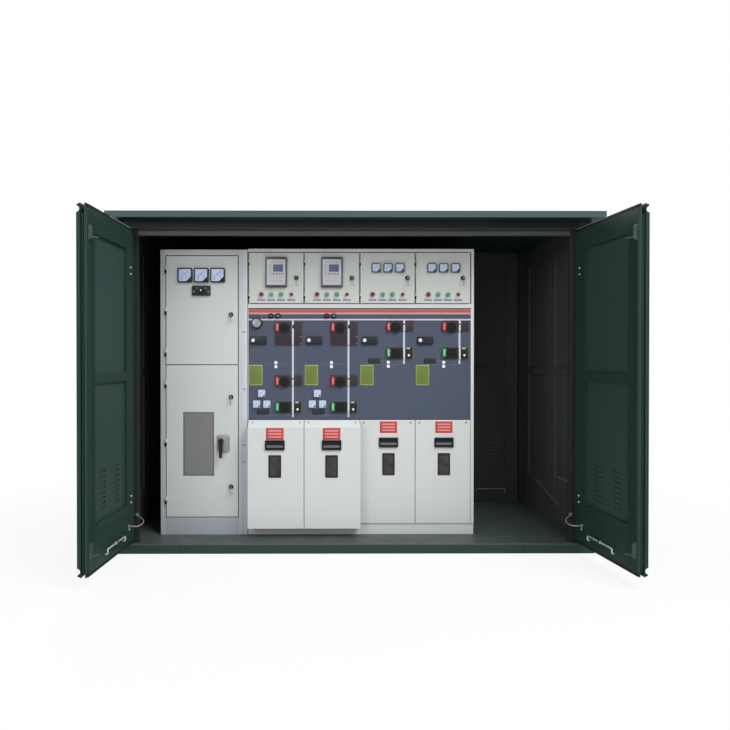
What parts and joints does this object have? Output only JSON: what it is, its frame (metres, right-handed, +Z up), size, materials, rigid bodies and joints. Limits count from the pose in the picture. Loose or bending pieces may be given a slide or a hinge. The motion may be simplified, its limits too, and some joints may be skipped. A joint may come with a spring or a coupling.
{
  "type": "gas-insulated switchgear cabinet",
  "caption": "Outdoor green steel enclosure with folding doors open on a grey metering cabinet beside a gas-insulated ring main switchgear unit with instrument boxes.",
  "frame": {"origin": "on the ground under the middle of the base, on the cross rail's underside", "axes": "+X to the right seen from the open front, +Y to the back, +Z up"},
  "size_m": [2.75, 1.8811, 1.955],
  "materials": {
    "green_paint": "satin dark green paint, worn at edges",
    "sill_paint": "green paint worn to grey by feet",
    "grey_paint": "textured light grey powder coat",
    "panel_paint": "satin grey-blue panel",
    "black_plastic": "moulded black",
    "dark_window": "smoked viewing window",
    "station_plate": "dark operating plate",
    "instrument_plastic": "blue instrument case",
    "steel": "zinc plated",
    "rubber": "black door seal",
    "copper": "tinned copper braid"
  },
  "bodies": {
    "enclosure": {"base_long_rails": "green_paint", "base_cross_rails": "green_paint", "front_sill": "sill_paint", "floor_plate": "green_paint", "corner_posts": "green_paint", "front_header": "green_paint", "roof": "green_paint", "back_wall": "green_paint", "right_wall": "green_paint", "left_wall": "green_paint", "right_inner_leaf": "green_paint", "right_outer_leaf": "green_paint", "left_inner_leaf": "green_paint", "left_outer_leaf": "green_paint", "leaf_seals": "rubber", "leaf_hinges": "green_paint", "stay_rods": "steel", "shoot_bolts": "steel", "right_earth_lead": "copper", "left_earth_lead": "copper", "metering_sides": "grey_paint", "metering_plates": "grey_paint", "metering_back": "grey_paint", "filler_post": "grey_paint", "unit_plinth": "grey_paint", "tank_housing": "grey_paint", "mimic_panel": "panel_paint", "deep_cable_covers": "grey_paint", "flat_cable_covers": "grey_paint", "cover_grips": "black_plastic", "cover_windows": "dark_window", "switch_stations": "station_plate", "earth_stations": "station_plate", "station_knobs": "black_plastic", "panel_indicators": "black_plastic", "instrument_uprights": "grey_paint", "instrument_plates": "grey_paint", "instrument_back": "grey_paint", "door_hinges": "black_plastic"},
    "upper_door": {"metering_upper_door": "grey_paint", "upper_door_controls": "instrument_plastic"},
    "lower_door": {"metering_lower_door": "grey_paint", "vent_grille": "grey_paint", "lower_door_fittings": "steel"},
    "handle": {"isolator_handle": "black_plastic"},
    "bay_1_door": {"instrument_door_1": "grey_paint", "bay_1_controls": "instrument_plastic"},
    "bay_2_door": {"instrument_door_2": "grey_paint", "bay_2_controls": "instrument_plastic"},
    "bay_3_door": {"instrument_door_3": "grey_paint", "bay_3_controls": "instrument_plastic"},
    "bay_4_door": {"instrument_door_4": "grey_paint", "bay_4_controls": "instrument_plastic"}
  },
  "joints": [
    {"name": "upper_door_hinge", "type": "hinge", "parent": "enclosure", "child": "upper_door", "pos_m": [-1.102, -0.375, 1.3825], "axis": [0, 0, -1], "range_deg": [0, 100]},
    {"name": "lower_door_hinge", "type": "hinge", "parent": "enclosure", "child": "lower_door", "pos_m": [-1.102, -0.375, 0.6095], "axis": [0, 0, -1], "range_deg": [0, 100]},
    {"name": "isolator_turn", "type": "hinge", "parent": "lower_door", "child": "handle", "pos_m": [-0.77617, -0.3803, 0.61015], "axis": [0, 1, 0], "range_deg": [0, 90]},
    {"name": "bay_1_door_hinge", "type": "hinge", "parent": "enclosure", "child": "bay_1_door", "pos_m": [-0.61165, -0.3735, 1.573], "axis": [0, 0, -1], "range_deg": [0, 95]},
    {"name": "bay_2_door_hinge", "type": "hinge", "parent": "enclosure", "child": "bay_2_door", "pos_m": [-0.28295, -0.3735, 1.573], "axis": [0, 0, -1], "range_deg": [0, 95]},
    {"name": "bay_3_door_hinge", "type": "hinge", "parent": "enclosure", "child": "bay_3_door", "pos_m": [0.04575, -0.3735, 1.573], "axis": [0, 0, -1], "range_deg": [0, 95]},
    {"name": "bay_4_door_hinge", "type": "hinge", "parent": "enclosure", "child": "bay_4_door", "pos_m": [0.37445, -0.3735, 1.573], "axis": [0, 0, -1], "range_deg": [0, 95]}
  ]
}
